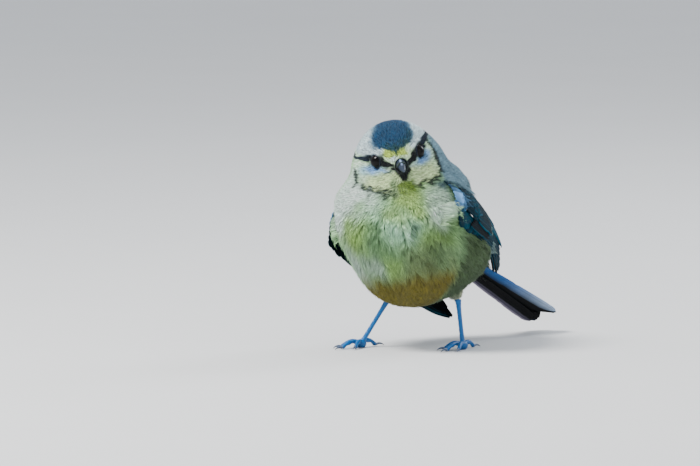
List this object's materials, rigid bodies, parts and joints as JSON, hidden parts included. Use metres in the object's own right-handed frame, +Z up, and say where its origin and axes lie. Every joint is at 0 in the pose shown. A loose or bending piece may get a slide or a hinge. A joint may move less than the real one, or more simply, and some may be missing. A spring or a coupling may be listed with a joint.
{
  "type": "blue tit",
  "caption": "Small round songbird standing on both legs with its head turned aside and its wings and tail folded, a still life-size natural history model.",
  "frame": {"origin": "on the floor, under the centre of the bird's bounding box", "axes": "+Z up; the body faces -Y, with the tail towards +Y; the bird's left side is +X"},
  "size_m": [0.0522, 0.1046, 0.0801],
  "materials": {
    "crown_feathers": "soft feathers, slate blue cap",
    "pale_feathers": "soft feathers, pale yellowish white",
    "body_feathers": "soft feathers, yellow-green",
    "wing_feathers": "satin feather vanes, dark blue",
    "tail_feathers": "satin feather vanes, blue-black",
    "bill_horn": "satin horn, blackish",
    "eye": "wet gloss, near black",
    "leg_scales": "satin scaled skin, blue",
    "claw_horn": "satin horn, dark"
  },
  "bodies": {
    "root": {"head": "crown_feathers", "neck": "pale_feathers", "torso": "body_feathers", "wing_left": "wing_feathers", "wing_right": "wing_feathers", "tail": "tail_feathers", "bill_upper": "bill_horn", "bill_lower": "bill_horn", "eye_left": "eye", "eye_right": "eye", "thigh_left": "body_feathers", "thigh_right": "body_feathers", "tarsus_left": "leg_scales", "tarsus_right": "leg_scales", "foot_left": "leg_scales", "foot_right": "leg_scales", "claw_left_hallux": "claw_horn", "claw_left_inner": "claw_horn", "claw_left_middle": "claw_horn", "claw_left_outer": "claw_horn", "claw_right_hallux": "claw_horn", "claw_right_inner": "claw_horn", "claw_right_middle": "claw_horn", "claw_right_outer": "claw_horn"}
  },
  "joints": []
}
